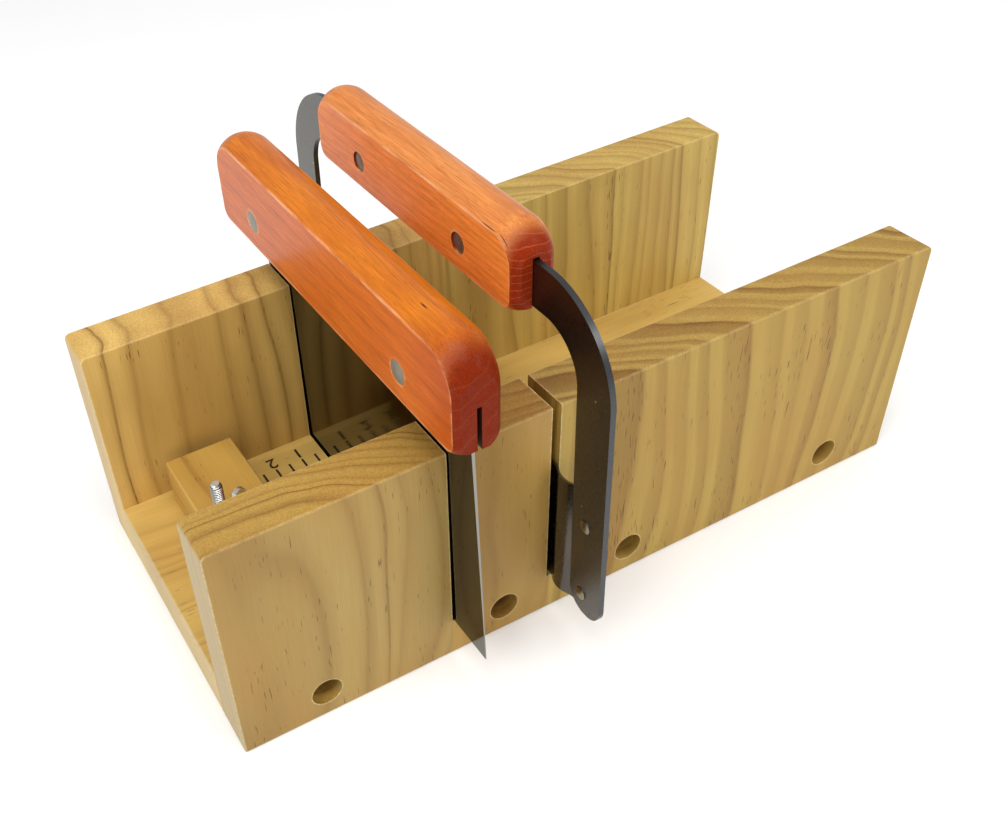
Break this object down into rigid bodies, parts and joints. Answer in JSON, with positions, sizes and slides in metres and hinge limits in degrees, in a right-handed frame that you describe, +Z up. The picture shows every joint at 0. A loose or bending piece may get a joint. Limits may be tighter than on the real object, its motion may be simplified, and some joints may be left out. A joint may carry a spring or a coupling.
{
  "type": "soap cutter",
  "caption": "Open-topped wooden mitre box with slotted walls, a sliding stop clamped by a wing nut, and loose straight and crinkle blades with wooden handles for slicing soap.",
  "frame": {"origin": "centre of the box's underside, midway between the wall faces and the box ends", "axes": "+X along the box from the stop end to the open end, +Y from the front wall to the back wall, +Z up"},
  "size_m": [0.25, 0.1854, 0.1356],
  "materials": {
    "pine": "planed pine under a thin clear coat, satin",
    "stained_wood": "reddish-orange stained hardwood under gloss varnish",
    "blade_steel": "polished stainless steel",
    "frame_steel": "brushed stainless steel",
    "zinc": "bright zinc plate",
    "rivet_metal": "dull aluminium"
  },
  "bodies": {
    "box": {"base_board": "pine", "front_wall": "pine", "back_wall": "pine", "front_screw_1": "zinc", "front_screw_2": "zinc", "front_screw_3": "zinc", "front_screw_4": "zinc", "back_screw_1": "zinc", "back_screw_2": "zinc", "back_screw_3": "zinc", "back_screw_4": "zinc"},
    "stop": {"stop_block": "pine", "clamp_bolt": "zinc", "washer": "zinc"},
    "nut": {"wing_nut": "zinc"},
    "straight_cutter": {"straight_handle": "stained_wood", "straight_blade": "blade_steel", "straight_rivet_1": "rivet_metal", "straight_rivet_2": "rivet_metal"},
    "wavy_cutter": {"wavy_handle": "stained_wood", "wavy_frame": "frame_steel", "wavy_blade": "frame_steel", "wavy_rivet_1": "rivet_metal", "wavy_rivet_2": "rivet_metal", "blade_rivet_1": "rivet_metal", "blade_rivet_2": "rivet_metal", "blade_rivet_3": "rivet_metal", "blade_rivet_4": "rivet_metal"}
  },
  "joints": [
    {"name": "stop_slide", "type": "slide", "parent": "box", "child": "stop", "axis": [1, 0, 0], "range_m": [-0.0095, 0.0293]},
    {"name": "nut_turn", "type": "hinge", "parent": "stop", "child": "nut", "pos_m": [-0.102, 0, 0.0401], "axis": [0, 0, 1], "range_deg": [0, 360]},
    {"name": "straight_lift", "type": "slide", "parent": "box", "child": "straight_cutter", "axis": [0, 0, 1], "range_m": [0, 0.085]},
    {"name": "wavy_lift", "type": "slide", "parent": "box", "child": "wavy_cutter", "axis": [0, 0, 1], "range_m": [0, 0.085]}
  ]
}
